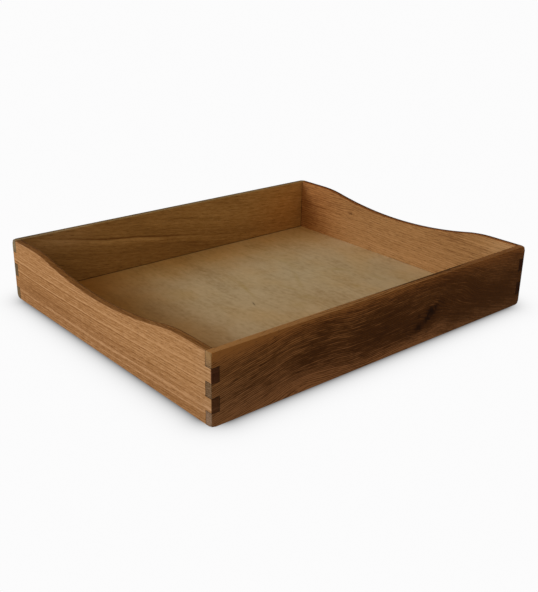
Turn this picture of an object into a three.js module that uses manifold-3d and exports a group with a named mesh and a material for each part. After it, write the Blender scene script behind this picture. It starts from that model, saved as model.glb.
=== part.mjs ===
// A wooden letter tray: four thin boards finger-jointed at the corners, with a plywood
// base let into a rebate under them. The two side boards have a shallow scoop in their
// top edge, so that a hand can reach the paper.
//
// Millimetres, +Z up. The origin is the centre of the footprint, on the plane that the
// tray rests on. The front board faces -Y, and the scooped side boards face -X and +X.
import * as THREE from "three";
import { mergeVertices } from "three/addons/utils/BufferGeometryUtils.js";
import Module from "manifold-3d";

// Driving dimensions.
const LENGTH = 320; // overall, along X
const DEPTH = 270; // overall, along Y
const HEIGHT = 51; // overall, along Z
const BOARD_THICKNESS = 6;
const FINGER_COUNT = 5; // front and back boards hold the odd ones, side boards the even ones
const SCOOP_DEPTH = 10;
const SCOOP_HALF_WIDTH = 102; // from the scoop's middle to where the edge is level again
const SCOOP_SHOULDER_RADIUS = 130; // the convex arc at each end of the scoop
const PANEL_THICKNESS = 3;
const PANEL_SETBACK = 0.3; // the base's underside stays this far off the desk
const PANEL_CLEARANCE = 0.25; // between the base's edge and the wall of its rebate
const REBATE_WIDTH = 3; // how far the rebate goes into each board
const REBATE_CORNER_RADIUS = 8; // left by the round cutter at the corners

// Worked out from them.
const FINGER_HEIGHT = HEIGHT / FINGER_COUNT;
const REBATE_HEIGHT = PANEL_SETBACK + PANEL_THICKNESS;
const REBATE_LENGTH = LENGTH - 2 * (BOARD_THICKNESS - REBATE_WIDTH);
const REBATE_DEPTH = DEPTH - 2 * (BOARD_THICKNESS - REBATE_WIDTH);

// How many straight pieces each arc is cut into.
const SHOULDER_SEGMENTS = 12;
const HOLLOW_SEGMENTS = 40;
const CORNER_SEGMENTS = 10;
// How far a cutting tool runs past the board's underside, so that it cuts cleanly.
const TOOL_OVERRUN = 5;

const manifold = await Module();
manifold.setup();

const oak = new THREE.MeshStandardMaterial({ color: 0xa5764b, roughness: 0.55, metalness: 0 });
const birchPlywood = new THREE.MeshStandardMaterial({ color: 0xa89370, roughness: 0.6, metalness: 0 });

// A closed three.js geometry as a manifold-3d solid.
function toSolid(geometry) {
  const bare = geometry.clone();
  bare.deleteAttribute("normal");
  bare.deleteAttribute("uv");
  const merged = mergeVertices(bare);
  return new manifold.Manifold(
    new manifold.Mesh({
      numProp: 3,
      vertProperties: merged.attributes.position.array,
      triVerts: new Uint32Array(merged.index.array),
    }),
  );
}

function toGeometry(solid) {
  const mesh = solid.getMesh();
  const geometry = new THREE.BufferGeometry();
  geometry.setAttribute("position", new THREE.BufferAttribute(mesh.vertProperties, 3));
  geometry.setIndex(new THREE.BufferAttribute(mesh.triVerts, 1));
  geometry.computeVertexNormals();
  return geometry;
}

// Extrudes a shape drawn in the board's own plane: across is the board's length, up is Z.
// The board's thickness runs along +Y from 0.
function extrudeBoard(shape) {
  const geometry = new THREE.ExtrudeGeometry(shape, {
    depth: BOARD_THICKNESS,
    bevelEnabled: false,
    curveSegments: 1,
  });
  geometry.rotateX(Math.PI / 2);
  geometry.translate(0, BOARD_THICKNESS, 0);
  return geometry;
}

// The height at which finger number `count` ends, counted from the bottom.
function fingerTop(count) {
  return count * FINGER_HEIGHT;
}

// One end of a board, drawn upwards: it steps between the full reach, where the board has
// a finger, and the reach less one board thickness, where its neighbour's finger passes.
function fingeredEnd(shape, side, reach, hasFinger) {
  const steps = [];
  for (let i = 0; i < FINGER_COUNT; i++) {
    const x = side * (hasFinger(i) ? reach : reach - BOARD_THICKNESS);
    steps.push([x, fingerTop(i)], [x, fingerTop(i + 1)]);
  }
  if (side < 0) steps.reverse();
  for (const [x, z] of steps) shape.lineTo(x, z);
}

// Points along an arc, without its first one.
function arcPoints(cx, cz, radius, fromAngle, toAngle, segments) {
  const points = [];
  for (let i = 1; i <= segments; i++) {
    const angle = fromAngle + ((toAngle - fromAngle) * i) / segments;
    points.push([cx + radius * Math.cos(angle), cz + radius * Math.sin(angle)]);
  }
  return points;
}

// The scoop, drawn from +across to -across: a convex shoulder, a concave hollow and a second
// shoulder, each tangent to the next and to the level edge. The tangents fix the hollow's radius.
function scoopPoints() {
  const turn = 2 * Math.atan(SCOOP_DEPTH / SCOOP_HALF_WIDTH);
  const hollowRadius = SCOOP_HALF_WIDTH / Math.sin(turn) - SCOOP_SHOULDER_RADIUS;
  const shoulderZ = HEIGHT - SCOOP_SHOULDER_RADIUS;
  const hollowZ = HEIGHT - SCOOP_DEPTH + hollowRadius;
  const up = Math.PI / 2;
  return [
    ...arcPoints(SCOOP_HALF_WIDTH, shoulderZ, SCOOP_SHOULDER_RADIUS, up, up + turn, SHOULDER_SEGMENTS),
    ...arcPoints(0, hollowZ, hollowRadius, turn - up, -turn - up, HOLLOW_SEGMENTS),
    ...arcPoints(-SCOOP_HALF_WIDTH, shoulderZ, SCOOP_SHOULDER_RADIUS, up - turn, up, SHOULDER_SEGMENTS),
  ];
}

// A board's outline: level underneath, fingers at both ends, and a level or a scooped top.
function boardShape(length, hasFinger, scooped) {
  const reach = length / 2;
  const foot = hasFinger(0) ? reach : reach - BOARD_THICKNESS;
  const shape = new THREE.Shape();
  shape.moveTo(-foot, 0);
  fingeredEnd(shape, 1, reach, hasFinger);
  if (scooped) {
    shape.lineTo(SCOOP_HALF_WIDTH, HEIGHT);
    for (const [x, z] of scoopPoints()) shape.lineTo(x, z);
  }
  fingeredEnd(shape, -1, reach, hasFinger);
  return shape;
}

// A flat block with rounded corners, in plan, from z = bottom to z = top.
function roundedBlock(length, depth, cornerRadius, bottom, top) {
  const x = length / 2 - cornerRadius;
  const y = depth / 2 - cornerRadius;
  const right = 0;
  const back = Math.PI / 2;
  const left = Math.PI;
  const front = -Math.PI / 2;
  const shape = new THREE.Shape();
  shape.absarc(x, y, cornerRadius, right, back, false);
  shape.absarc(-x, y, cornerRadius, back, left, false);
  shape.absarc(-x, -y, cornerRadius, left, left + back, false);
  shape.absarc(x, -y, cornerRadius, front, right, false);
  const geometry = new THREE.ExtrudeGeometry(shape, {
    depth: top - bottom,
    bevelEnabled: false,
    curveSegments: CORNER_SEGMENTS,
  });
  geometry.translate(0, 0, bottom);
  return geometry;
}

// Cuts the rebate for the base out of a board. `placement` carries the board into the tray.
function withRebate(boardGeometry, placement) {
  const tool = roundedBlock(REBATE_LENGTH, REBATE_DEPTH, REBATE_CORNER_RADIUS, -TOOL_OVERRUN, REBATE_HEIGHT);
  tool.applyMatrix4(placement.clone().invert());
  return toGeometry(toSolid(boardGeometry).subtract(toSolid(tool)));
}

// A board in its own frame (outer face on y = 0, facing -Y), turned and moved into the tray.
function makeBoard(name, length, hasFinger, scooped, turn, position) {
  const placement = new THREE.Matrix4().makeRotationZ(turn).setPosition(...position);
  const mesh = new THREE.Mesh(withRebate(extrudeBoard(boardShape(length, hasFinger, scooped)), placement), oak);
  mesh.name = name;
  mesh.rotation.z = turn;
  mesh.position.set(...position);
  return mesh;
}

function makeBasePanel() {
  const geometry = roundedBlock(
    REBATE_LENGTH - 2 * PANEL_CLEARANCE,
    REBATE_DEPTH - 2 * PANEL_CLEARANCE,
    REBATE_CORNER_RADIUS - PANEL_CLEARANCE,
    0,
    PANEL_THICKNESS,
  );
  const mesh = new THREE.Mesh(geometry, birchPlywood);
  mesh.name = "base_panel";
  mesh.position.z = PANEL_SETBACK;
  return mesh;
}

const isOuterFinger = (i) => i % 2 === 0; // bottom, middle and top
const isInnerFinger = (i) => i % 2 === 1;

const tray = new THREE.Group();
tray.add(
  makeBoard("front_board", LENGTH, isOuterFinger, false, 0, [0, -DEPTH / 2, 0]),
  makeBoard("back_board", LENGTH, isOuterFinger, false, Math.PI, [0, DEPTH / 2, 0]),
  makeBoard("left_side_board", DEPTH, isInnerFinger, true, -Math.PI / 2, [-LENGTH / 2, 0, 0]),
  makeBoard("right_side_board", DEPTH, isInnerFinger, true, Math.PI / 2, [LENGTH / 2, 0, 0]),
  makeBasePanel(),
);

export default tray;
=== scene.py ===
"""The looks of the letter tray: oak boards finger-jointed round a birch plywood base.

Every piece is a refined copy of its CAD node, with eased outer edges and a fine break along
the joints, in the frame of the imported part. Lengths here are millimetres times MM.
"""

import math
from dataclasses import dataclass, field

import bmesh
import bpy
from mathutils import Matrix, Vector


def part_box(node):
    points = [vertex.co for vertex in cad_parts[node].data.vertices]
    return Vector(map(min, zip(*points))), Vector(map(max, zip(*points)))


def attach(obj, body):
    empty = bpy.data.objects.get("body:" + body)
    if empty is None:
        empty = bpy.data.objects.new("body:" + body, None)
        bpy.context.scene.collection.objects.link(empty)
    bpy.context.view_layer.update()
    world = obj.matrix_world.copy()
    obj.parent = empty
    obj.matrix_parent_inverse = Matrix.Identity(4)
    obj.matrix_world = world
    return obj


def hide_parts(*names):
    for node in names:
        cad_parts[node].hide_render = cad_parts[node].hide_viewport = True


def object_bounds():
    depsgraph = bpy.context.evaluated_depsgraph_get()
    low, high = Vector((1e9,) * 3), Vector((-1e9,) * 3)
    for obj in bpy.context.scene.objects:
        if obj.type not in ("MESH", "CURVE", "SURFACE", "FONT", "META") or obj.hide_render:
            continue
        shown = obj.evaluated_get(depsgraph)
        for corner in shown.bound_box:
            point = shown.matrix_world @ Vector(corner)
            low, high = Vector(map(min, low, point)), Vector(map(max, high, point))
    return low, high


MM = 0.001

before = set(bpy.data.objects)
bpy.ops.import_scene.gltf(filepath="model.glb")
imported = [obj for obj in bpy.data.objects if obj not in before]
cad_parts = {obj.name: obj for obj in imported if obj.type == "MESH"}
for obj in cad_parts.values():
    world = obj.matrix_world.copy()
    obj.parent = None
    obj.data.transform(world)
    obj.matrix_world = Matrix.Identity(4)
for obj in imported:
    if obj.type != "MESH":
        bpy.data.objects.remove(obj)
cad_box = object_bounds()

# ---------------------------------------------------------------- the tray's own sizes

LOW, HIGH = cad_box
LENGTH = HIGH.x - LOW.x
DEPTH = HIGH.y - LOW.y
HEIGHT = HIGH.z - LOW.z
CENTRE = (LOW + HIGH) / 2
HALF_SIZE = (HIGH - LOW) / 2
FRONT_LOW, FRONT_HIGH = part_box("front_board")
THICKNESS = FRONT_HIGH.y - FRONT_LOW.y
WELL_X = LENGTH / 2 - THICKNESS
WELL_Y = DEPTH / 2 - THICKNESS
FINGER_COUNT = 5
FINGER_HEIGHT = HEIGHT / FINGER_COUNT
PANEL_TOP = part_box("base_panel")[1].z

# ---------------------------------------------------------------- refining the meshes

WELD = 0.001 * MM
FLAT_ANGLE = math.radians(0.2)  # the scoop's facets meet at more than twice this
SHARP_ANGLE = math.radians(50)
EASED_RADIUS = 0.65 * MM
BALL_RADIUS = 1.7 * MM  # where three of the tray's outer edges meet
BALL_ZONE = 4.0 * MM  # how far from a corner its rounding fades to the eased edge
BALL_CUTS = (0.25, 0.55, 0.9, 1.3, 1.8, 2.4, 3.2)  # millimetres in from the outside
BREAK_WIDTH = 0.14 * MM
PANEL_BREAK_WIDTH = 0.3 * MM
REBATE_ZONE = 3.0 * MM  # how far the rebate reaches into a board's thickness
EASED_SEGMENTS = 4
BREAK_SEGMENTS = 2
STEP_OUT = 0.1 * MM  # how far off a face the test for a neighbour looks
FACE_WEIGHT = 100  # the highest: large flat faces alone decide how a rounded edge is shaded


def cad_shape(node):
    """A copy of a CAD node's mesh, welded, with each flat face as one polygon."""
    shape = bmesh.new()
    shape.from_mesh(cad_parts[node].data)
    bmesh.ops.remove_doubles(shape, verts=shape.verts, dist=WELD)
    bmesh.ops.dissolve_limit(shape, angle_limit=FLAT_ANGLE, verts=shape.verts, edges=shape.edges)
    shape.normal_update()
    return shape


def cut_faces(shape, faces, axis, distance):
    """Cuts edges into some faces where they cross the two planes at +-distance from the centre."""
    for side in (-1, 1):
        normal = Vector((0, 0, 0))
        normal[axis] = 1
        geometry = {part for face in faces if face.is_valid for part in (face, *face.edges, *face.verts)}
        place = CENTRE + normal * side * distance
        done = bmesh.ops.bisect_plane(shape, geom=list(geometry), dist=WELD, plane_co=place, plane_no=normal)
        faces = [part for part in done["geom"] if isinstance(part, bmesh.types.BMFace)]
    shape.normal_update()


def is_joint_face(face):
    """True where a face of one board lies against its neighbour at a corner of the tray."""
    centre = face.calc_center_median()
    at_corner = abs(centre.x) > WELL_X - WELD and abs(centre.y) > WELL_Y - WELD
    outside = centre + face.normal * STEP_OUT
    in_plan = abs(outside.x) < LENGTH / 2 and abs(outside.y) < DEPTH / 2
    in_well = abs(outside.x) < WELL_X and abs(outside.y) < WELL_Y
    return at_corner and in_plan and not in_well and 0 < outside.z < HEIGHT


def is_sharp(edge):
    return edge.is_manifold and edge.is_convex and edge.calc_face_angle(0) > SHARP_ANGLE


def is_rebate_edge(edge):
    """True for the edges left by the rebate that takes the base."""
    middle = (edge.verts[0].co + edge.verts[1].co) / 2
    inset = min(LENGTH / 2 - abs(middle.x), DEPTH / 2 - abs(middle.y))
    return middle.z < PANEL_TOP + WELD and inset > REBATE_ZONE / 2


def shown_edges(shape):
    """The sharp edges that a hand can meet: not in a joint and not in the rebate."""
    return [
        edge
        for edge in shape.edges
        if is_sharp(edge)
        and not is_rebate_edge(edge)
        and not any(is_joint_face(face) for face in edge.link_faces)
    ]


def bevel(shape, edges, width, segments):
    """Rounds edges, or breaks them where the width is small."""
    bmesh.ops.bevel(
        shape,
        geom=edges,
        offset=width,
        offset_type="OFFSET",
        segments=segments,
        profile=0.5,
        affect="EDGES",
        clamp_overlap=True,
    )
    shape.normal_update()


def near_corner(face):
    """True for a face that is wholly inside the zone round an upright corner of the tray."""
    return all(
        LENGTH / 2 - abs(vert.co.x) < BALL_ZONE + WELD and DEPTH / 2 - abs(vert.co.y) < BALL_ZONE + WELD
        for vert in face.verts
    )


def on_ball(place):
    """A place near an outer corner of the tray, pulled in where the corner is rounded like a ball."""
    offset = place - CENTRE
    insets = [half - abs(part) for half, part in zip(HALF_SIZE, offset)]
    share = min(max((max(insets) - BALL_RADIUS) / (BALL_ZONE - BALL_RADIUS), 0), 1)
    radius = BALL_RADIUS * (1 - share * share * (3 - 2 * share))
    outside = Vector([max(radius - inset, 0) for inset in insets])
    if outside.length <= radius:
        return place
    pull = outside * (1 - radius / outside.length)
    return place - Vector([math.copysign(part, side) for part, side in zip(pull, offset)])


def round_corners(shape):
    """Rounds the outer corners like a ball, and keeps every point inside the tray's box."""
    for axis in (0, 1):
        cut_faces(shape, shape.faces[:], axis, HALF_SIZE[axis] - BALL_ZONE)
    for cut in BALL_CUTS:
        for axis in (0, 1, 2):
            cut_faces(shape, [f for f in shape.faces if near_corner(f)], axis, HALF_SIZE[axis] - cut * MM)
    for vert in shape.verts:
        place = on_ball(vert.co)
        vert.co = [min(max(part, low), high) for part, low, high in zip(place, LOW, HIGH)]
    shape.normal_update()


def refine_board(shape, neighbour_axis, neighbour_plane):
    """Rounds the edges that a hand meets, and breaks the rest so that the joints catch light."""
    cut_faces(shape, shape.faces[:], neighbour_axis, neighbour_plane)
    bevel(shape, shown_edges(shape), EASED_RADIUS, EASED_SEGMENTS)
    bevel(shape, [edge for edge in shape.edges if is_sharp(edge)], BREAK_WIDTH, BREAK_SEGMENTS)
    round_corners(shape)


def add_piece(name, shape, node, material):
    """Turns a finished shape into a piece of the tray that stands for its CAD node."""
    mesh = bpy.data.meshes.new(name)
    shape.to_mesh(mesh)
    shape.free()
    mesh.materials.append(material)
    mesh.shade_smooth()
    piece = bpy.data.objects.new(name, mesh)
    bpy.context.scene.collection.objects.link(piece)
    normals = piece.modifiers.new("flat faces stay flat", "WEIGHTED_NORMAL")
    normals.weight = FACE_WEIGHT
    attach(piece, "root")
    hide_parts(node)
    return piece


# ---------------------------------------------------------------- shader nodes in short calls


class Graph:
    """A node tree, emptied. Each call adds a node and returns its output socket."""

    def __init__(self, tree):
        self.tree = tree
        self.tree.nodes.clear()

    def node(self, kind, **settings):
        made = self.tree.nodes.new(kind)
        for key, value in settings.items():
            setattr(made, key, value)
        return made

    def plug(self, socket, value):
        if isinstance(value, bpy.types.NodeSocket):
            self.tree.links.new(value, socket)
        else:
            socket.default_value = value

    def math(self, operation, *values):
        made = self.node("ShaderNodeMath", operation=operation)
        for socket, value in zip(made.inputs, values):
            self.plug(socket, value)
        return made.outputs[0]

    def add(self, a, b):
        return self.math("ADD", a, b)

    def subtract(self, a, b):
        return self.math("SUBTRACT", a, b)

    def times(self, a, b):
        return self.math("MULTIPLY", a, b)

    def sway(self, value, size):
        """Turns 0..1 into -size/2..size/2."""
        return self.times(self.subtract(value, 0.5), size)

    def total(self, values):
        result = values[0]
        for value in values[1:]:
            result = self.add(result, value)
        return result

    def ramp(self, value, low, high, to_low=0.0, to_high=1.0):
        """Maps low..high to to_low..to_high, eased at both ends and held outside them."""
        made = self.node("ShaderNodeMapRange", interpolation_type="SMOOTHSTEP", clamp=True)
        for socket, given in zip(made.inputs, (value, low, high, to_low, to_high)):
            self.plug(socket, given)
        return made.outputs[0]

    def hump(self, value, middle, reach):
        """1 at the middle, falling like a bell to about 0.6 at +-reach."""
        offset = self.math("DIVIDE", self.subtract(value, middle), reach)
        return self.math("EXPONENT", self.times(self.times(offset, offset), -0.5))

    def spot(self, along, up, area):
        """1 in the middle of a knot, patch or stain, falling like a bell with its two reaches."""
        return self.times(
            self.hump(along, area.along, area.reach_along),
            self.hump(up, area.up, area.reach_up),
        )

    def tinted(self, factor, colour, tint):
        """The colour, multiplied by the tint where the factor is 1."""
        return self.mix(factor, colour, tint, blend="MULTIPLY")

    def vector(self, parts):
        made = self.node("ShaderNodeCombineXYZ")
        for socket, value in zip(made.inputs, parts):
            self.plug(socket, value)
        return made.outputs[0]

    def split(self, vector):
        made = self.node("ShaderNodeSeparateXYZ")
        self.plug(made.inputs[0], vector)
        return tuple(made.outputs)

    def noise(self, place, sizes, seed, detail=2.0, roughness=0.5):
        """Noise between 0 and 1. Its grains have one size along each part of the place."""
        scaled = [self.times(part, 1 / size) for part, size in zip(place, sizes)]
        made = self.node("ShaderNodeTexNoise", noise_dimensions="4D")
        self.plug(made.inputs["Vector"], self.vector(scaled))
        made.inputs["W"].default_value = seed
        made.inputs["Scale"].default_value = 1.0
        made.inputs["Detail"].default_value = detail
        made.inputs["Roughness"].default_value = roughness
        return made.outputs["Fac"]

    def curve(self, value, points):
        """A smooth curve through (input, output) points, level beyond the first and the last."""
        inputs = [x for x, _ in points]
        outputs = [y for _, y in points]
        low, high = min(outputs), max(outputs)
        made = self.node("ShaderNodeFloatCurve")
        line = made.mapping.curves[0]
        for i, (x, y) in enumerate(points):
            place = ((x - inputs[0]) / (inputs[-1] - inputs[0]), (y - low) / (high - low))
            if i in (0, len(points) - 1):
                line.points[0 if i == 0 else -1].location = place
            else:
                line.points.new(*place)
        made.mapping.update()
        share = self.node("ShaderNodeMapRange", clamp=True)
        for socket, given in zip(share.inputs, (value, inputs[0], inputs[-1], 0.0, 1.0)):
            self.plug(socket, given)
        self.plug(made.inputs["Value"], share.outputs[0])
        return self.add(self.times(made.outputs[0], high - low), low)

    def colours(self, value, stops):
        """A colour ramp from (position, colour) stops."""
        made = self.node("ShaderNodeValToRGB")
        elements = made.color_ramp.elements
        while len(elements) < len(stops):
            elements.new(0.5)
        for element, (position, colour) in zip(elements, stops):
            element.position = position
            element.color = (*colour, 1)
        self.plug(made.inputs[0], value)
        return made.outputs[0]

    def mix(self, factor, a, b, blend="MIX"):
        made = self.node("ShaderNodeMix", data_type="RGBA", blend_type=blend)
        self.plug(made.inputs["Factor"], factor)
        for name, value in (("A", a), ("B", b)):
            socket = next(s for s in made.inputs if s.name == name and s.type == "RGBA")
            self.plug(socket, value if isinstance(value, bpy.types.NodeSocket) else (*value, 1))
        return next(s for s in made.outputs if s.type == "RGBA")

    def surface(self, colour, roughness, height, bump_depth, specular):
        """Closes the tree with one Principled surface."""
        bump = self.node("ShaderNodeBump")
        bump.inputs["Strength"].default_value = 1.0
        bump.inputs["Distance"].default_value = bump_depth
        self.plug(bump.inputs["Height"], height)
        shader = self.node("ShaderNodeBsdfPrincipled")
        self.plug(shader.inputs["Base Color"], colour)
        self.plug(shader.inputs["Roughness"], roughness)
        shader.inputs["Specular IOR Level"].default_value = specular
        self.plug(shader.inputs["Normal"], bump.outputs[0])
        output = self.node("ShaderNodeOutputMaterial")
        self.plug(output.inputs["Surface"], shader.outputs[0])


def new_material(name):
    material = bpy.data.materials.new(name)
    material.use_nodes = True
    return material, Graph(material.node_tree)


def object_millimetres(g):
    """The place on the piece, as x, y and z in millimetres."""
    place = g.node("ShaderNodeVectorMath", operation="SCALE")
    g.plug(place.inputs[0], g.node("ShaderNodeTexCoord").outputs["Object"])
    place.inputs["Scale"].default_value = 1 / MM
    return g.split(place.outputs[0])


def facing(g):
    """How squarely the surface faces along X, Y and Z, each from 0 to 1."""
    normal = g.node("ShaderNodeNewGeometry").outputs["Normal"]
    return [g.math("ABSOLUTE", part) for part in g.split(normal)]


# ---------------------------------------------------------------- the oak boards


@dataclass
class Knot:
    """A knot at a place on the board, and how it bends the grain round it."""

    along: float
    up: float
    radius: float
    bow: float = 0.7  # 0 leaves the grain straight, 1 opens it fully
    reach_along: float = 14
    reach_up: float = 8
    darkness: float = 1.0


@dataclass
class Streak:
    """A long narrow band that keeps to the grain; strength is pale above 0, dark below."""

    height: float
    half_width: float
    strength: float
    middle: float = 0
    reach: float = 500


@dataclass
class Patch:
    """A soft darker or paler area: mostly the wood's own tone, some painted light or shade where marked;
    strength is pale above 0, dark below.
    """

    along: float
    up: float
    reach_along: float
    reach_up: float
    strength: float


@dataclass
class TintArea:
    """A soft area where the wood's colour is multiplied by a tint: mostly the wood's own tone, some painted
    light or shade where marked. On the base, up is Y.
    """

    along: float
    up: float
    reach_along: float
    reach_up: float
    tint: tuple


@dataclass
class Oak:
    """What makes one board differ from the next. Lengths are millimetres."""

    name: str
    along: str
    seed: float
    dark: tuple
    middle: tuple
    light: tuple
    end_tint: tuple  # how end grain differs from the face
    top_tint: tuple  # how the top edge differs from the face
    base_line: float  # how dark the line along the base is
    drift: list  # (along, height) points that one growth line passes through
    ring: float  # distance between growth lines on the face
    lean: float  # how the growth lines slant through the thickness
    line_depth: float
    figure_depth: float
    grain_depth: float
    inner_arris_shade: float = 0.0  # how dark the painted shade along the top's inner arris is
    inner_run: list = field(default_factory=list)  # (along, width) points of that band
    outer_arris_shade: float = 0.0  # how dark the painted shade on the outer arris is
    outer_reach: float = 1.0  # how far in from the outer arris that painted shade goes
    soft_from: float = 0.0  # where along the board the grain starts to soften
    softness: float = 0.0  # how much of it is lost at the far end
    knots: list = field(default_factory=list)
    streaks: list = field(default_factory=list)
    patches: list = field(default_factory=list)
    tint_areas: list = field(default_factory=list)


LEFT_OAK = Oak(
    name="left_oak",
    along="Y",
    seed=11.0,
    dark=(0.2, 0.088, 0.026),
    middle=(0.327, 0.172, 0.07),
    light=(0.475, 0.285, 0.15),
    end_tint=(0.26, 0.19, 0.165),
    top_tint=(0.66, 0.54, 0.34),
    base_line=0.5,
    drift=[(-135, 4.4), (-65, 2.2), (0, 0.3), (45, 0), (135, 1)],
    ring=1.9,
    lean=0.5,
    line_depth=0.45,
    figure_depth=0.25,
    grain_depth=2.1,
    inner_arris_shade=0.45,
    inner_run=[(-135, 1.4), (0, 1.8), (135, 2.4)],
    streaks=[
        Streak(44.5, 0.45, 0.3, middle=-100, reach=40),
        Streak(33.1, 0.45, 0.62),
        Streak(32.2, 0.4, -0.4),
        Streak(25.0, 0.45, 0.68),
        Streak(24.2, 0.4, -0.42),
        Streak(15.6, 0.45, -0.34),
        Streak(20.3, 0.35, -0.3, middle=-100, reach=35),
        Streak(11.6, 0.35, -0.3, middle=-60, reach=45),
        Streak(38.4, 0.4, 0.3, middle=60, reach=60),
        Streak(8.6, 0.45, 0.62),
        Streak(4.2, 0.5, 0.45, middle=-90, reach=70),
    ],
    patches=[
        Patch(100, 14, 60, 6, -0.22),
        Patch(-130, 16, 30, 8, 0.05),
        Patch(-130, 38, 50, 12, 0.14),
        Patch(110, 27, 60, 8, -0.12),
        Patch(45, 29, 40, 6, -0.1),
        Patch(0, 4, 400, 5, -0.14),
        Patch(0, 33, 400, 8, 0.07),
        Patch(-95, 5, 25, 3, -0.1),
    ],
    tint_areas=[
        TintArea(0, 5, 400, 10, (0.985, 1.0, 1.09)),
        TintArea(-134, 30, 8, 60, (1.02, 1.08, 1.2)),
        TintArea(128, 51.5, 16, 1.5, (0.76, 0.76, 0.82)),
        TintArea(-135, 36, 0.6, 5, (0.66, 0.54, 0.6)),
    ],
)
RIGHT_OAK = Oak(
    name="right_oak",
    along="Y",
    seed=23.0,
    dark=(0.2, 0.09, 0.03),
    middle=(0.38, 0.205, 0.08),
    light=(0.49, 0.28, 0.125),
    end_tint=(0.14, 0.1, 0.08),
    top_tint=(0.85, 0.62, 0.45),
    base_line=0.1,
    drift=[(-135, -3), (0, 0), (60, 2.5), (135, 3)],
    ring=2.1,
    lean=-0.5,
    line_depth=0.45,
    figure_depth=0.4,
    grain_depth=1.7,
    outer_arris_shade=0.9,
    outer_reach=4.6,
    knots=[Knot(57, 34, 1.6, bow=0.7, reach_along=6, reach_up=4, darkness=0.45)],
    streaks=[
        Streak(27.0, 0.5, -0.35, middle=100, reach=35),
        Streak(10.0, 0.8, 0.25, middle=0, reach=80),
        Streak(7.0, 0.5, -0.2, middle=20, reach=60),
        Streak(47.6, 0.35, -0.5, middle=-115, reach=28),
        Streak(45.4, 0.4, 0.5, middle=-115, reach=28),
        Streak(42.6, 0.35, -0.45, middle=-110, reach=30),
        Streak(38.4, 0.4, 0.4, middle=-105, reach=30),
        Streak(35.2, 0.35, -0.45, middle=-100, reach=28),
        Streak(30.6, 0.35, -0.35, middle=-85, reach=30),
    ],
    patches=[
        Patch(20, 7, 70, 4, 0.12),
        # darker towards the back corner: painted shade where the back board shades the inner face
        Patch(120, 24, 30, 60, -0.32),
        Patch(84, 25, 22, 8, 0.12),
        Patch(60, 40, 25, 6, -0.2),
        Patch(-125, 46, 16, 8, 0.4),
        Patch(-65, 45, 12, 5, -0.25),
    ],
    tint_areas=[
        # redder towards the back corner: painted shade, warm from the wood around it
        TintArea(112, 24, 28, 60, (1.13, 0.98, 0.84)),
        TintArea(-125, 46, 16, 8, (1.1, 1.18, 1.32)),
        TintArea(-135, 36, 0.8, 5, (0.55, 0.3, 0.3)),
        TintArea(-135, 15, 0.8, 5, (0.6, 0.4, 0.4)),
    ],
)
BACK_OAK = Oak(
    name="back_oak",
    along="X",
    seed=37.0,
    dark=(0.22, 0.11, 0.033),
    middle=(0.395, 0.228, 0.08),
    light=(0.58, 0.37, 0.16),
    end_tint=(0.35, 0.43, 0.65),
    top_tint=(0.78, 0.92, 1.15),
    base_line=0.8,
    drift=[
        (-160, 22),
        (-114, 11),
        (-74, 3),
        (-42, -1),
        (-24, -4.6),
        (0, -8),
        (40, -15),
        (90, -22),
        (160, -30),
    ],
    ring=3.4,
    lean=0.5,
    line_depth=0.16,
    figure_depth=0.6,
    grain_depth=1.4,
    outer_arris_shade=0.75,
    outer_reach=4.5,
    streaks=[
        Streak(32.2, 0.7, -0.7, middle=-55, reach=45),
        Streak(29.8, 1.4, 0.45, middle=-50, reach=75),
        Streak(26.6, 0.8, 0.2, middle=40, reach=40),
        Streak(48.0, 0.7, -0.3, middle=10, reach=25),
    ],
    patches=[
        Patch(85, 36, 45, 12, 0.18),
        Patch(-124, 43, 18, 7, 0.22),
        Patch(-124, 22, 20, 10, -0.16),
        Patch(0, 15, 60, 9, -0.2),
        Patch(35, 9, 40, 6, -0.12),
    ],
    tint_areas=[
        TintArea(132, 28, 30, 30, (1.1, 0.96, 0.82)),
        TintArea(-122, 44, 25, 9, (1.0, 1.02, 1.2)),
        TintArea(-150, 51.5, 20, 1.5, (0.72, 0.74, 0.8)),
        TintArea(-160, 47, 0.7, 4, (1.35, 1.55, 1.7)),
        TintArea(-160, 26, 0.7, 6, (0.78, 0.78, 0.82)),
    ],
)
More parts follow.
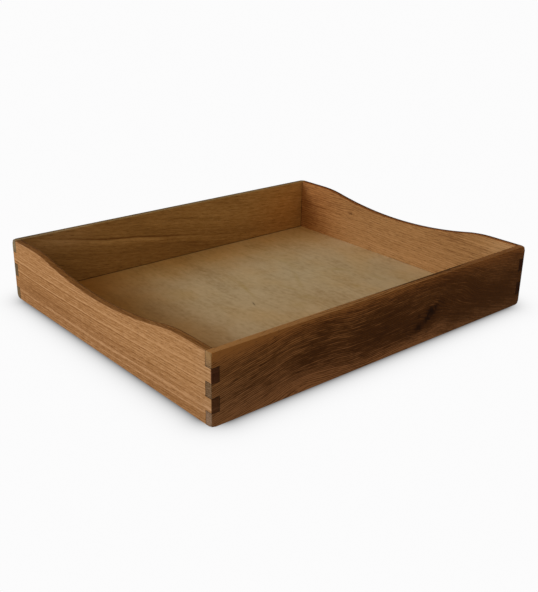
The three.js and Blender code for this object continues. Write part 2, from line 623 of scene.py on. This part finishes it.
FRONT_OAK = Oak(
    name="front_oak",
    along="X",
    seed=53.0,
    # These colours are far darker than the other boards': partly the board's own darker wood, partly painted
    # shade for a face that looks away from the light.
    dark=(0.047, 0.0145, 0.0031),
    middle=(0.091, 0.034, 0.0076),
    light=(0.3, 0.145, 0.07),
    end_tint=(0.93, 1.27, 1.9),
    top_tint=(1.27, 1.4, 1.6),
    base_line=0.5,
    drift=[
        (-160, -14.5),
        (-120, -6),
        (-80, 0),
        (-60, -0.5),
        (-35, -3),
        (40, -1),
        (70, -6),
        (110, -20),
        (160, -34),
    ],
    ring=1.35,
    lean=0.6,
    line_depth=0.72,
    figure_depth=0.22,
    grain_depth=1.5,
    inner_arris_shade=0.8,
    soft_from=10,
    softness=0.5,
    inner_run=[(-154, 0.8), (-100, 0.3), (-40, 0.5), (0, 1.5), (30, 2.4), (60, 2.9), (104, 0.4), (154, 0.3)],
    knots=[
        Knot(44.5, 23.8, 5.8),
        Knot(40.0, 19.0, 4.0, bow=0.2, reach_along=6, reach_up=5, darkness=0.9),
        Knot(30.5, 14.5, 4.0, reach_along=8, reach_up=5, darkness=0.8),
        Knot(50.0, 26.5, 2.6, bow=0.2, reach_along=6, reach_up=5, darkness=0.5),
        Knot(53.0, 30.0, 2.2, bow=0.2, reach_along=6, reach_up=5, darkness=0.35),
        Knot(31.0, 24.0, 2.0, bow=0.2, reach_along=5, reach_up=4, darkness=0.55),
        Knot(40.5, 8, 1.8, bow=0.2, reach_along=5, reach_up=4, darkness=0.35),
        Knot(84, 28, 3.0, bow=0.5, reach_along=12, reach_up=10, darkness=0.0),
        Knot(-91, 2, 1.9, reach_along=13, reach_up=6, darkness=0.4),
    ],
    patches=[
        # The pale band along the top of the face, here and in the pale entries near the top, is partly the
        # wood's own tone and partly a painted highlight where the rounded top edge catches the light.
        Patch(0, 51, 400, 3, 0.3),
        Patch(-160, 50, 25, 5, 0.42),
        Patch(60, 50, 26, 4, -0.14),
        Patch(-105, 52, 30, 2.5, 0.25),
        Patch(-115, 6, 35, 7, 0.08),
        Patch(-85, 40, 35, 9, 0.07),
        Patch(5, 25, 40, 9, -0.1),
        Patch(95, 24, 45, 13, -0.15),
        Patch(130, 44, 32, 4, 0.13),
        Patch(-165, 25, 38, 60, 0.2),
        Patch(-20, 2, 100, 4, 0.3),
        Patch(70, 6, 60, 6, 0.1),
        Patch(37, 17, 3.5, 5, 0.3),
        Patch(-84, 9, 14, 4, 0.2),
        Patch(-78, 24, 13, 7, -0.2),
        Patch(-66, 42, 8, 5, -0.12),
        Patch(-8, 26, 16, 8, -0.2),
        Patch(22, 13, 14, 4, -0.16),
        Patch(53, 27, 5, 3, -0.35),
        Patch(43, 21, 7, 6, -0.3),
        Patch(30, 14, 7, 4, -0.3),
        Patch(135, 22, 40, 9, -0.05),
        Patch(-12, 18, 22, 5, -0.14),
        Patch(10, 36, 12, 5, -0.14),
        Patch(35, 16, 4, 3, -0.4),
        Patch(125, 34, 18, 6, 0.1),
        Patch(50, 12, 14, 4, 0.12),
        Patch(-130, 26, 12, 18, -0.04),
        Patch(-70, 31, 9, 5, -0.12),
        Patch(-30, 30, 9, 5, -0.12),
        Patch(105, 12, 60, 7, -0.06),
        Patch(-140, 22, 25, 6, -0.05),
        Patch(-140, 5, 18, 4, 0.07),
        Patch(70, 6, 9, 4, -0.1),
        Patch(-25, 6, 16, 4, -0.12),
    ],
    tint_areas=[
        # the ochre band along the top: partly the wood's own tone, partly a painted highlight
        TintArea(0, 51, 400, 6, (1.02, 0.9, 0.62)),
        TintArea(120, 5, 55, 9, (0.95, 1.0, 1.1)),
        TintArea(-150, 50, 22, 5, (1.08, 1.13, 1.1)),
        # greyer and paler low at the left end: a painted reflection of the pale floor
        TintArea(-160, 15, 40, 18, (0.97, 1.05, 1.15)),
        TintArea(-70, 53, 60, 3.2, (1.0, 1.12, 1.2)),
        TintArea(0, 38, 400, 11, (1.0, 0.99, 0.82)),
    ],
)

PORE_TINT = (0.55, 0.55, 0.55)
KNOT_COLOUR = (0.016, 0.0035, 0.001)
JOINT_COLOUR = (0.02, 0.009, 0.004)
ARRIS_SHADE_COLOUR = (0.045, 0.02, 0.005)  # painted shade along the top's inner and outer arrises
EDGE_TINT = (0.8, 0.74, 0.66)
OAK_ROUGHNESS = 0.6
OAK_RELIEF = 0.12 * MM
OAK_SHINE = 0.15

# How long, broad and thick the grains of the oak's noises are, in millimetres.
LINE_WANDER_SIZES = (30, 4)
RING_RUN = 160
RING_STEP = 5.7  # keeps the tone of one ring apart from the next one's
STREAK_WAVER_SIZES = (45, 20)
STREAK_FADING_SIZES = (22, 2)
PATCH_EDGE_SIZES = (14, 4)
KNOT_EDGE_SIZES = (2.2, 2.2)
FIGURE_SIZES = (70, 11, 11)
FIBRE_SIZES = (7, 1 / 1.3, 1 / 1.3)
PORE_SIZES = (4, 1 / 2.4, 1 / 2.4)
CLARITY_SIZES = (20, 1.5)
GRIME_EDGE_SIZES = (9,)
JOINT_WIDTH_SIZES = (4, 4, 7)  # in X, Y and Z

FAR_OFF = 10.0  # millimetres: farther than any joint line is wide
SOFTENING_RUN = 100  # millimetres over which a board's grain softens
PORE_DARKNESS = 0.4
LINE_STRENGTH = 0.85  # how much of the joint colour a full joint line shows


def bent_height(g, oak, along, up):
    """Height measured across the grain: level lines of this follow the growth lines."""
    height = g.subtract(up, g.curve(along, oak.drift))
    for knot in oak.knots:
        pull = g.times(g.subtract(up, knot.up), g.times(g.spot(along, up, knot), knot.bow))
        height = g.subtract(height, pull)
    return height


def growth_lines(g, oak, along, across):
    """Dark early wood fading to pale late wood, ring after ring, each with its own tone."""
    wander = g.noise((along, across), LINE_WANDER_SIZES, oak.seed)
    place = g.add(g.times(across, 1 / oak.ring), g.times(wander, 1.5))
    tone = g.curve(
        g.math("FRACT", place),
        [(0.0, 0.45), (0.1, 0.12), (0.32, 0.62), (0.85, 0.88), (1.0, 0.45)],
    )
    ring_place = g.times(g.math("FLOOR", place), RING_STEP)
    own = g.noise((0.0, ring_place, along), (1, 1, RING_RUN), oak.seed + 3, detail=1)
    return g.subtract(g.add(tone, own), 0.5)


def streak_tone(g, oak, along, height):
    """The sum of the board's streaks, pale above 0 and dark below."""
    waver = g.noise((along, height), STREAK_WAVER_SIZES, oak.seed + 9)
    fading = g.noise((along, height), STREAK_FADING_SIZES, oak.seed + 10)
    wavering = g.add(height, g.sway(waver, 2.0))
    parts = [0.0]
    for streak in oak.streaks:
        band = g.hump(wavering, streak.height, streak.half_width)
        run = g.hump(along, streak.middle, streak.reach)
        parts.append(g.times(g.times(band, run), streak.strength))
    return g.times(g.total(parts), g.ramp(fading, 0.3, 0.6, 0.45, 1.1))


def patch_tone(g, oak, along, up, height):
    """The sum of the board's darker and paler areas, pale above 0 and dark below."""
    ragged = g.sway(g.noise((along, height), PATCH_EDGE_SIZES, oak.seed + 5), 1.0)
    moved_along = g.add(along, g.times(ragged, 12.0))
    moved_up = g.add(up, g.times(ragged, 4.0))
    parts = [0.0]
    for patch in oak.patches:
        parts.append(g.times(g.spot(moved_along, moved_up, patch), patch.strength))
    return g.total(parts)


def tinted_by_areas(g, tint_areas, along, up, colour):
    """The colour, tinted by each of the tinted areas."""
    for tint_area in tint_areas:
        colour = g.tinted(g.spot(along, up, tint_area), colour, tint_area.tint)
    return colour


def knot_shade(g, oak, along, up):
    """1 in the heart of a knot, falling raggedly to 0 at its rim."""
    ragged = g.noise((along, up), KNOT_EDGE_SIZES, oak.seed + 7, detail=3)
    shades = [0.0]
    for knot in oak.knots:
        across = g.subtract(along, knot.along)
        above = g.times(g.subtract(up, knot.up), 1.25)
        distance = g.math("SQRT", g.add(g.times(across, across), g.times(above, above)))
        distance = g.add(distance, g.sway(ragged, knot.radius * 2.0))
        shades.append(g.ramp(distance, knot.radius * 0.2, knot.radius * 1.3, knot.darkness, 0.0))
    return g.math("MINIMUM", g.total(shades), 1.0)


def joint_distance(g, place, facing_x, facing_y):
    """Millimetres to the nearest line where two boards meet on an outer face."""
    x, y, z = place
    thickness = THICKNESS / MM
    finger = FINGER_HEIGHT / MM
    inset_x = g.subtract(LENGTH / 2 / MM, g.math("ABSOLUTE", x))
    inset_y = g.subtract(DEPTH / 2 / MM, g.math("ABSOLUTE", y))
    side_finger = g.math("MODULO", g.math("FLOOR", g.times(z, 1 / finger)), 2.0)
    beside_side_finger = g.math("ABSOLUTE", g.subtract(inset_x, thickness))
    beside_side_finger = g.add(beside_side_finger, g.times(g.subtract(1.0, side_finger), FAR_OFF))
    beside_long_finger = g.math("ABSOLUTE", g.subtract(inset_y, thickness))
    beside_long_finger = g.add(beside_long_finger, g.times(g.times(side_finger, facing_x), FAR_OFF))
    on_long_face = g.ramp(facing_y, 0.5, 0.7)
    upright = g.add(
        g.times(beside_side_finger, on_long_face),
        g.times(beside_long_finger, g.subtract(1.0, on_long_face)),
    )
    from_middle = g.math("ABSOLUTE", g.subtract(z, HEIGHT / 2 / MM))
    at_rim = g.ramp(from_middle, HEIGHT / 2 / MM - 2, HEIGHT / 2 / MM - 1)
    level = g.add(g.math("PINGPONG", z, finger / 2), g.times(at_rim, FAR_OFF))
    beyond_corner = g.ramp(g.math("MAXIMUM", inset_x, inset_y), thickness + 0.3, thickness + 0.6)
    return g.add(g.math("MINIMUM", upright, level), g.times(beyond_corner, FAR_OFF))


def joint_shade(g, place, facing_x, facing_y, seed):
    """1 on the dark hairline where two boards meet, 0 elsewhere; it thins and thickens."""
    uneven = g.noise(place, JOINT_WIDTH_SIZES, seed, detail=1)
    width = g.ramp(uneven, 0.3, 0.7, 0.22, 0.42)
    share = g.math("DIVIDE", joint_distance(g, place, facing_x, facing_y), width)
    return g.ramp(share, 0.45, 1.1, 1.0, 0.0)


def board_insets(g, oak, x, y):
    """How far a place is from the board's outer face and from the tray's end, in millimetres."""
    from_side = g.subtract(LENGTH / 2 / MM, g.math("ABSOLUTE", x))
    from_end = g.subtract(DEPTH / 2 / MM, g.math("ABSOLUTE", y))
    return (from_end, from_side) if oak.along == "X" else (from_side, from_end)


def arris_shade(g, oak, x, y, facing_z, edge):
    """How much painted shade lies along the top's inner arris, within the well, and along the outer one."""
    inset, end_inset = board_insets(g, oak, x, y)
    on_top = g.ramp(facing_z, 0.3, 0.6)
    outer = g.times(g.ramp(inset, oak.outer_reach, oak.outer_reach * 0.2), oak.outer_arris_shade)
    outer = g.times(outer, g.math("MAXIMUM", edge, on_top))
    if not oak.inner_run:
        return outer
    along = x if oak.along == "X" else y
    thickness = THICKNESS / MM
    within_well = g.ramp(end_inset, thickness - 1, thickness)
    uneven = g.noise((along,), GRIME_EDGE_SIZES, oak.seed + 12, detail=3)
    width = g.times(g.curve(along, oak.inner_run), g.ramp(uneven, 0.3, 0.7, 0.7, 1.3))
    inner = g.ramp(g.subtract(thickness, inset), width, g.times(width, 0.6))
    inner = g.times(g.times(g.times(inner, on_top), within_well), oak.inner_arris_shade)
    return g.math("MAXIMUM", inner, outer)


def inner_line_shade(g, oak, x, y, z):
    """The dark lines on the board's inner face where it meets the base and its neighbours."""
    inset, end_inset = board_insets(g, oak, x, y)
    thickness = THICKNESS / MM
    on_inner_face = g.ramp(inset, thickness - 0.4, thickness - 0.1)
    base_line = g.ramp(z, PANEL_TOP / MM + 0.1, PANEL_TOP / MM + 1.1, oak.base_line, 0.0)
    in_corner = g.ramp(g.math("ABSOLUTE", g.subtract(end_inset, thickness)), 0.2, 0.7, 1.0, 0.0)
    corner_line = g.times(in_corner, g.ramp(z, HEIGHT / 2 / MM, HEIGHT * 0.65 / MM, 0.7, 0.2))
    return g.times(on_inner_face, g.math("MAXIMUM", base_line, corner_line))


def fibres_and_pores(g, oak, grain_place, lines):
    """The fine grain, and the pores, which open in the dark part of each growth line."""
    grain = g.noise(grain_place, FIBRE_SIZES, oak.seed + 2, detail=3, roughness=0.7)
    pore_field = g.noise(grain_place, PORE_SIZES, oak.seed + 4, detail=1)
    pores = g.times(g.ramp(pore_field, 0.6, 0.7), g.ramp(lines, 0.75, 0.2, 0.4, 1.0))
    return grain, pores


def line_clarity(g, oak, along, across, end):
    """How clearly the growth lines show; end grain hides most of them."""
    clarity = g.noise((along, across), CLARITY_SIZES, oak.seed + 6)
    return g.times(g.ramp(clarity, 0.3, 0.7, 0.3, 1.4), g.subtract(1.0, g.times(end, 0.7)))


def face_tints(g, oak, facing_z, end, edge, colour):
    """The colour, tinted on end grain, on the top edge and where an edge is rounded."""
    colour = g.tinted(end, colour, oak.end_tint)
    colour = g.tinted(g.ramp(facing_z, 0.6, 0.95), colour, oak.top_tint)
    return g.tinted(g.times(edge, 0.6), colour, EDGE_TINT)


def oak_material(oak):
    """Open-grain oak with a satin oil finish."""
    material, g = new_material(oak.name)
    place = object_millimetres(g)
    x, y, z = place
    along, up, through = (x, z, y) if oak.along == "X" else (y, z, x)
    facing_x, facing_y, facing_z = facing(g)
    end = g.ramp(facing_x if oak.along == "X" else facing_y, 0.3, 0.55)
    flatness = g.math("MAXIMUM", g.math("MAXIMUM", facing_x, facing_y), facing_z)
    edge = g.ramp(flatness, 0.975, 0.8)

    height = bent_height(g, oak, along, up)
    across = g.add(height, g.times(through, oak.lean))
    grain_place = (along, across, through)
    lines = growth_lines(g, oak, along, across)
    figure = g.noise(grain_place, FIGURE_SIZES, oak.seed + 1, detail=3)
    grain, pores = fibres_and_pores(g, oak, grain_place, lines)
    clarity = line_clarity(g, oak, along, across, end)
    kept = g.ramp(along, oak.soft_from, oak.soft_from + SOFTENING_RUN, 1.0, 1 - oak.softness)
    tone = g.total([
        0.5,
        g.times(g.times(g.sway(lines, oak.line_depth), clarity), kept),
        g.sway(figure, oak.figure_depth),
        g.times(g.sway(grain, oak.grain_depth), kept),
        g.times(pores, -PORE_DARKNESS),
        streak_tone(g, oak, along, height),
        patch_tone(g, oak, along, up, height),
    ])
    colour = g.colours(tone, [(0.0, oak.dark), (0.5, oak.middle), (1.0, oak.light)])
    colour = g.tinted(g.times(pores, 0.35), colour, PORE_TINT)
    colour = tinted_by_areas(g, oak.tint_areas, along, up, colour)
    knots = knot_shade(g, oak, along, up)
    colour = g.mix(knots, colour, KNOT_COLOUR)
    colour = face_tints(g, oak, facing_z, end, edge, colour)
    # painted shade along the top's arrises
    colour = g.mix(arris_shade(g, oak, x, y, facing_z, edge), colour, ARRIS_SHADE_COLOUR)
    joint = joint_shade(g, place, facing_x, facing_y, oak.seed + 8)
    joint = g.math("MAXIMUM", joint, inner_line_shade(g, oak, x, y, z))
    colour = g.mix(g.times(joint, LINE_STRENGTH), colour, JOINT_COLOUR)

    roughness = g.total([OAK_ROUGHNESS, g.sway(grain, 0.25), g.times(pores, 0.2), g.times(edge, -0.06)])
    relief = g.total([g.times(pores, -1.0), g.times(grain, 0.5), g.times(lines, 0.25), g.times(knots, 0.3)])
    g.surface(colour, roughness, relief, OAK_RELIEF, OAK_SHINE)
    return material


# ---------------------------------------------------------------- the plywood base

BIRCH_DARK = (0.42, 0.3, 0.165)
BIRCH_MIDDLE = (0.58, 0.46, 0.295)
BIRCH_LIGHT = (0.68, 0.55, 0.38)
BIRCH_WARM_TINT = (1.0, 0.9, 0.72)
BIRCH_BACK_WALL_SHADE_TINT = (1.0, 0.85, 0.6)  # painted shade, darker and warmer, along the wall behind
BIRCH_LEFT_WALL_SHADE_TINT = (0.68, 0.48, 0.26)  # deeper painted shade along the left wall
# The areas near the left and back walls fine-tune the painted wall shade below and are painted shade and
# light themselves.
BIRCH_TINT_AREAS = [
    TintArea(-76, 74, 26, 24, (0.88, 0.84, 0.8)),
    TintArea(122, -25, 22, 38, (0.9, 0.94, 0.98)),
    TintArea(72, 50, 18, 60, (1.01, 1.06, 1.13)),
    TintArea(75, 118, 22, 18, (1.06, 1.07, 1.14)),
    TintArea(0, 48, 22, 14, (1.0, 1.03, 1.07)),
    TintArea(15, -47, 25, 14, (0.98, 0.96, 0.93)),
    TintArea(-92, 65, 14, 22, (1.0, 0.98, 0.9)),
    TintArea(40, 22, 75, 34, (0.99, 1.04, 1.09)),
    TintArea(-10, 80, 50, 11, (0.92, 0.92, 0.92)),
    TintArea(-90, 38, 13, 32, (0.9, 0.9, 0.92)),
    TintArea(-95, -60, 30, 40, (1.0, 1.03, 1.12)),
]
MINERAL_COLOUR = (0.42, 0.3, 0.09)
GLUE_LINE = (0.12, 0.06, 0.03)
BIRCH_ROUGHNESS = 0.55
BIRCH_RELIEF = 0.03 * MM
BIRCH_SHINE = 0.3

# How far the grains of the birch's noises reach in X, Y and Z, in millimetres.
VENEER_WANDER_SIZES = (50, 90)
CLOUD_SIZES = (24, 42, 1)
VEIN_SIZES = (3, 50, 1)
FLECK_SIZES = (1 / 2, 6, 1)
MOTTLE_SIZES = (3, 5, 1)
WARMTH_SIZES = (34, 40, 1)
MINERAL_EDGE_SIZES = (6, 14)
PLY_THICKNESS = 1.0  # millimetres


@dataclass
class Mineral:
    """A streak of another colour in the veneer, leaning across the grain as it runs along Y."""

    x: float
    y: float
    reach_x: float
    reach_y: float
    slant: float
    strength: float


MINERALS = [
    Mineral(-4, 24, 1.4, 13, 0.3, 0.42),
    Mineral(28, 4, 1.6, 8, -0.2, 0.3),
    Mineral(46, 14, 1.6, 13, 0.6, 0.28),
    Mineral(9, -28, 5, 6, 0.0, 0.25),
    Mineral(26, -21, 3.5, 7, -0.3, 0.25),
    Mineral(68, 57, 3, 12, 0.0, 0.25),
    Mineral(93, 12, 2.5, 5, -0.5, 0.38),
    Mineral(106, -24, 2, 7, 0.0, 0.3),
    Mineral(76, -28, 2.5, 2.5, 0.0, 0.3),
    Mineral(-54, 49, 7, 10, 0.0, 0.18),
]
DARK_FLECK = Mineral(-19.2, -4, 0.45, 2.2, 0.4, 0.75)


def mineral_shade(g, x, y, mineral):
    """How much of one streak shows at a place on the face veneer."""
    leaning = g.subtract(x, g.times(g.subtract(y, mineral.y), mineral.slant))
    near = g.times(
        g.hump(leaning, mineral.x, mineral.reach_x),
        g.hump(y, mineral.y, mineral.reach_y),
    )
    return g.times(near, mineral.strength)


def with_minerals(g, x, y, colour):
    """The colour, with the veneer's greenish mineral streaks and its one dark fleck."""
    ragged = g.sway(g.noise((x, y), MINERAL_EDGE_SIZES, 36.0), 6.0)
    moved_x = g.add(x, ragged)
    minerals = g.total([mineral_shade(g, moved_x, y, mineral) for mineral in MINERALS])
    colour = g.mix(minerals, colour, MINERAL_COLOUR)
    return g.mix(mineral_shade(g, x, y, DARK_FLECK), colour, KNOT_COLOUR)


def with_painted_wall_shade(g, x, y, colour):
    """The colour, with painted shade, darker and warmer, towards the back and left walls, and a thin dark
    line along the walls.
    """
    from_back = g.subtract(WELL_Y / MM, y)
    from_left = g.add(x, WELL_X / MM)
    # painted shade from the back and left boards
    colour = g.tinted(g.ramp(from_back, 5, 75, 1.0, 0.0), colour, BIRCH_BACK_WALL_SHADE_TINT)
    colour = g.tinted(g.ramp(from_left, 40, 110, 1.0, 0.0), colour, BIRCH_LEFT_WALL_SHADE_TINT)
    from_wall = g.math("MINIMUM", from_left, g.subtract(WELL_Y / MM, g.math("ABSOLUTE", y)))
    return g.mix(g.ramp(from_wall, 0.1, 1.0, 0.5, 0.0), colour, JOINT_COLOUR)


def birch_material():
    """Sanded birch plywood: a pale face veneer whose grain runs along Y, and three plies at its edge."""
    material, g = new_material("birch_plywood")
    place = object_millimetres(g)
    x, y, z = place
    wander = g.noise((x, y), VENEER_WANDER_SIZES, 30.0)
    across = g.add(x, g.sway(wander, 30.0))
    grain_place = (across, y, z)
    cloud = g.noise(grain_place, CLOUD_SIZES, 31.0, detail=3)
    vein = g.noise(grain_place, VEIN_SIZES, 32.0, detail=4, roughness=0.75)
    flecks = g.ramp(g.noise(grain_place, FLECK_SIZES, 33.0, detail=1), 0.68, 0.8)
    mottle = g.noise(place, MOTTLE_SIZES, 35.0, detail=3)
    warmth = g.noise(place, WARMTH_SIZES, 34.0, detail=3)
    tone = g.total([
        0.5,
        g.sway(cloud, 1.0),
        g.sway(vein, 1.0),
        g.sway(mottle, 1.0),
        g.times(flecks, -0.25),
    ])
    colour = g.colours(tone, [(0.0, BIRCH_DARK), (0.5, BIRCH_MIDDLE), (1.0, BIRCH_LIGHT)])
    colour = with_minerals(g, x, y, colour)
    colour = g.tinted(g.ramp(warmth, 0.42, 0.7, 0.0, 0.6), colour, BIRCH_WARM_TINT)
    colour = tinted_by_areas(g, BIRCH_TINT_AREAS, x, y, colour)
    # painted shade near the back and left walls
    colour = with_painted_wall_shade(g, x, y, colour)
    ply = g.math("PINGPONG", g.subtract(z, PANEL_TOP / MM), PLY_THICKNESS)
    plies = g.colours(ply, [(0.0, BIRCH_LIGHT), (0.8, BIRCH_MIDDLE), (1.0, GLUE_LINE)])
    facing_z = facing(g)[2]
    colour = g.mix(g.ramp(facing_z, 0.9, 0.6), colour, plies)
    roughness = g.add(BIRCH_ROUGHNESS, g.sway(vein, 0.2))
    relief = g.add(g.times(vein, 0.6), g.times(flecks, -0.5))
    g.surface(colour, roughness, relief, BIRCH_RELIEF, BIRCH_SHINE)
    return material


# ---------------------------------------------------------------- the pieces

BOARDS = {
    "front_board": FRONT_OAK,
    "back_board": BACK_OAK,
    "left_side_board": LEFT_OAK,
    "right_side_board": RIGHT_OAK,
}


def make_boards():
    for node, oak in BOARDS.items():
        shape = cad_shape(node)
        if oak.along == "X":
            refine_board(shape, 0, WELL_X)
        else:
            refine_board(shape, 1, WELL_Y)
        add_piece(f"oak_{node}", shape, node, oak_material(oak))


def make_base():
    panel = cad_shape("base_panel")
    bevel(panel, [edge for edge in panel.edges if is_sharp(edge)], PANEL_BREAK_WIDTH, BREAK_SEGMENTS)
    add_piece("plywood_base", panel, "base_panel", birch_material())


# ---------------------------------------------------------------- floor, light and camera

FLOOR_SIZE = 4.0
BACKDROP = (0.972, 0.97, 0.972)
SHADOW_DARKNESS = 0.76
SHADOW_REACH = 6.3  # millimetres
SHADOW_CORNER = 17.0  # millimetres: how roundly the shadow goes about the tray's corners
AMBIENT_COLOUR = (1.0, 0.78, 0.5)
FILL_COLOUR = (1.0, 0.96, 0.9)
AMBIENT_BASE = 0.05
AMBIENT_OVERHEAD = 0.15
AMBIENT_LEFT = 0.62
AMBIENT_FRONT = 0.2
FILL = 0.85  # low and behind on the right, where the other lights don't reach
FILL_SIDE = (0.85, 0.5)  # in X and Y, the way towards it
KEY_POWER = 6.0
KEY_DISTANCE = 1.1
KEY_AZIMUTH = -120
KEY_ELEVATION = 22
KEY_SIZE = 0.5
CAMERA_AZIMUTH = -40.727
CAMERA_ELEVATION = 22.187
CAMERA_ROLL = 0.999
CAMERA_LENS = 51.637  # millimetres
CAMERA_SENSOR = 36  # millimetres
CAMERA_NEAR = 0.01
CAMERA_DISTANCE = 0.6527
CAMERA_AIM = Vector((-0.03395, -0.03999, HEIGHT / 2))


def floor_material():
    """An evenly bright pale floor with a soft contact shadow round the tray, clear from below."""
    material, g = new_material("pale_floor")
    x, y, _ = object_millimetres(g)
    core_x = LENGTH / 2 / MM - SHADOW_CORNER
    core_y = DEPTH / 2 / MM - SHADOW_CORNER
    outside_x = g.math("MAXIMUM", g.subtract(g.math("ABSOLUTE", x), core_x), 0.0)
    outside_y = g.math("MAXIMUM", g.subtract(g.math("ABSOLUTE", y), core_y), 0.0)
    away = g.math("SQRT", g.add(g.times(outside_x, outside_x), g.times(outside_y, outside_y)))
    away = g.math("MAXIMUM", g.subtract(away, SHADOW_CORNER), 0.0)
    shade = g.math("EXPONENT", g.times(away, -1 / SHADOW_REACH))
    colour = g.mix(g.times(shade, SHADOW_DARKNESS), BACKDROP, (0.0, 0.0, 0.0))
    glow = g.node("ShaderNodeEmission")
    g.plug(glow.inputs["Color"], colour)
    clear = g.node("ShaderNodeBsdfTransparent")
    choice = g.node("ShaderNodeMixShader")
    g.plug(choice.inputs[0], g.node("ShaderNodeNewGeometry").outputs["Backfacing"])
    g.plug(choice.inputs[1], glow.outputs[0])
    g.plug(choice.inputs[2], clear.outputs[0])
    output = g.node("ShaderNodeOutputMaterial")
    g.plug(output.inputs["Surface"], choice.outputs[0])
    return material


def make_floor():
    mesh = bpy.data.meshes.new("floor")
    half = FLOOR_SIZE / 2
    corners = [(-half, -half, 0), (half, -half, 0), (half, half, 0), (-half, half, 0)]
    mesh.from_pydata(corners, [], [(0, 1, 2, 3)])
    mesh.materials.append(floor_material())
    floor = bpy.data.objects.new("floor", mesh)
    bpy.context.scene.collection.objects.link(floor)
    floor.visible_diffuse = False
    floor.visible_glossy = False
    floor.visible_shadow = False


def make_world():
    """White to the camera; to the object a warm studio, brightest on the left."""
    world = bpy.data.worlds.new("studio")
    bpy.context.scene.world = world
    world.use_nodes = True
    g = Graph(world.node_tree)
    x, y, z = g.split(g.node("ShaderNodeTexCoord").outputs["Generated"])
    towards_fill = g.add(g.times(x, FILL_SIDE[0]), g.times(y, FILL_SIDE[1]))
    behind_right = g.ramp(towards_fill, 0.2, 1.0)
    fill = g.times(behind_right, g.ramp(z, 0.3, 0.1))
    path = g.node("ShaderNodeLightPath")
    strength = g.total([
        AMBIENT_BASE,
        g.times(g.ramp(z, -0.2, 1.0), AMBIENT_OVERHEAD),
        g.times(g.ramp(x, 0.2, -1.0), AMBIENT_LEFT),
        g.times(g.ramp(y, 0.2, -1.0), AMBIENT_FRONT),
        g.times(g.times(fill, FILL), g.subtract(1.0, path.outputs["Is Glossy Ray"])),
    ])
    seen = g.node("ShaderNodeBackground")
    g.plug(seen.inputs["Color"], (*BACKDROP, 1))
    lighting = g.node("ShaderNodeBackground")
    g.plug(lighting.inputs["Color"], g.mix(fill, AMBIENT_COLOUR, FILL_COLOUR))
    g.plug(lighting.inputs["Strength"], strength)
    choice = g.node("ShaderNodeMixShader")
    g.plug(choice.inputs[0], path.outputs["Is Camera Ray"])
    g.plug(choice.inputs[1], lighting.outputs[0])
    g.plug(choice.inputs[2], seen.outputs[0])
    output = g.node("ShaderNodeOutputWorld")
    g.plug(output.inputs["Surface"], choice.outputs[0])


def direction(azimuth, elevation):
    """The way from the tray towards a viewer or a lamp; azimuth 0 is in front, -90 to the left."""
    a, e = math.radians(azimuth), math.radians(elevation)
    return Vector((math.sin(a) * math.cos(e), -math.cos(a) * math.cos(e), math.sin(e)))


def make_key_light():
    data = bpy.data.lights.new("key", "AREA")
    data.shape = "SQUARE"
    data.size = KEY_SIZE
    data.energy = KEY_POWER
    key = bpy.data.objects.new("key", data)
    bpy.context.scene.collection.objects.link(key)
    towards = direction(KEY_AZIMUTH, KEY_ELEVATION)
    key.location = CENTRE + towards * KEY_DISTANCE
    key.rotation_mode = "QUATERNION"
    key.rotation_quaternion = towards.to_track_quat("Z", "Y")


def make_camera():
    data = bpy.data.cameras.new("camera")
    data.lens = CAMERA_LENS
    data.sensor_width = CAMERA_SENSOR
    data.clip_start = CAMERA_NEAR
    camera = bpy.data.objects.new("camera", data)
    bpy.context.scene.collection.objects.link(camera)
    back = direction(CAMERA_AZIMUTH, CAMERA_ELEVATION)
    camera.location = CAMERA_AIM + back * CAMERA_DISTANCE
    level = back.to_track_quat("Z", "Y").to_matrix()
    camera.rotation_euler = (level @ Matrix.Rotation(math.radians(CAMERA_ROLL), 3, "Z")).to_euler()
    bpy.context.scene.camera = camera


make_boards()
make_base()
make_floor()
make_world()
make_key_light()
make_camera()
bpy.context.scene.view_settings.view_transform = "Standard"
